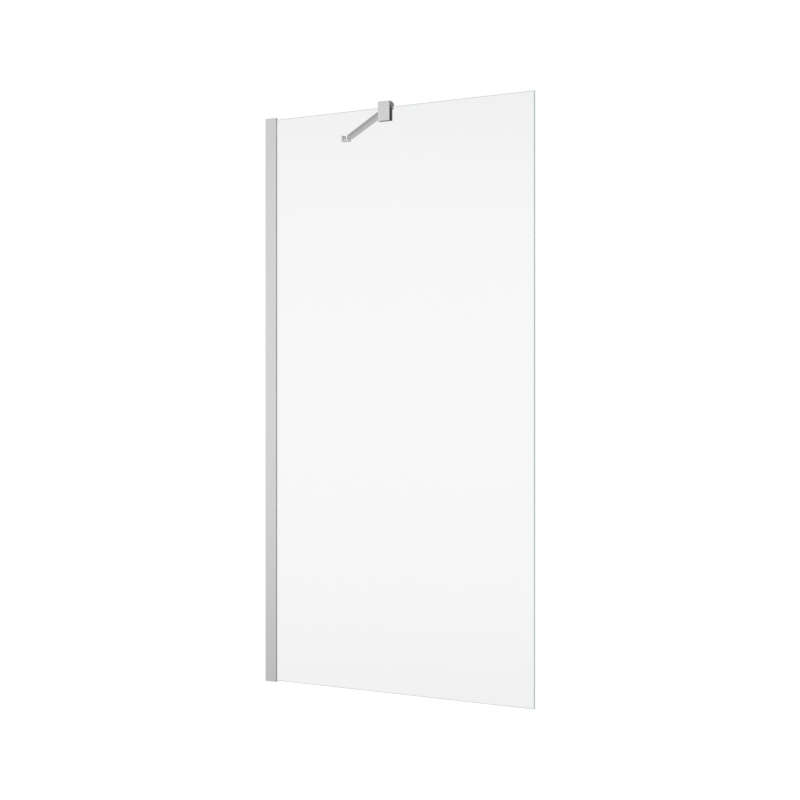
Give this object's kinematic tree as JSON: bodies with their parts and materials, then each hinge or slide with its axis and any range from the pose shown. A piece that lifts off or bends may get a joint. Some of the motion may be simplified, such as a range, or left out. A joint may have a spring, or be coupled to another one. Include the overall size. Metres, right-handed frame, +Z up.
{
  "type": "bath screen",
  "caption": "Fixed glass bath screen in a slim wall channel, steadied by a 45-degree flat bar from a clamp on the pane's top edge to a small wall bracket.",
  "frame": {"origin": "foot of the wall channel's back face, at the middle of the glass: on the wall and on the bath rim", "axes": "+X out from the wall along the glass, +Y to the bath side where the bar is, +Z up"},
  "size_m": [0.733, 0.371, 1.4124],
  "materials": {
    "bright_aluminium": "bright polished",
    "plain_aluminium": "mill",
    "chrome": "polished",
    "steel": "turned",
    "clear_glass": "clear",
    "black_rubber": "matte",
    "black_nylon": "matte",
    "white_nylon": "matte",
    "chrome_plastic": "chrome plated"
  },
  "bodies": {
    "wall": {"wall_profile": "bright_aluminium", "top_cap": "bright_aluminium", "front_seal": "black_rubber", "rear_seal": "black_rubber", "setting_block": "black_nylon"},
    "glass": {"glass_panel": "clear_glass", "glass_channel": "plain_aluminium", "glazing_gasket": "black_rubber", "locking_screws": "steel", "locking_washers": "steel", "screw_caps": "chrome_plastic", "clamp_body": "chrome", "clamp_front_pad": "black_rubber", "clamp_rear_pad": "black_rubber", "clamp_jaw": "black_nylon", "clamp_screws": "steel", "clamp_pivot_screw": "steel", "clamp_spacer": "white_nylon", "clamp_head_washer": "steel"},
    "arm": {"arm_bar": "chrome", "arm_end_clamp": "chrome", "arm_end_wall": "chrome", "arm_set_screws": "steel"},
    "bracket": {"wall_bracket": "chrome", "bracket_pivot_screw": "steel", "bracket_spacer": "white_nylon", "bracket_head_washer": "steel"}
  },
  "joints": [
    {"name": "glass_adjust", "type": "slide", "parent": "wall", "child": "glass", "axis": [1, 0, 0], "range_m": [-0.005, 0.005]},
    {"name": "arm_swivel", "type": "hinge", "parent": "glass", "child": "arm", "pos_m": [0.3414, 0.0336, 1.404], "axis": [0, 0, 1], "range_deg": [-45, 45]},
    {"name": "bracket_swivel", "type": "hinge", "parent": "arm", "child": "bracket", "pos_m": [0.02, 0.355, 1.404], "axis": [0, 0, 1], "range_deg": [-45, 45]}
  ]
}
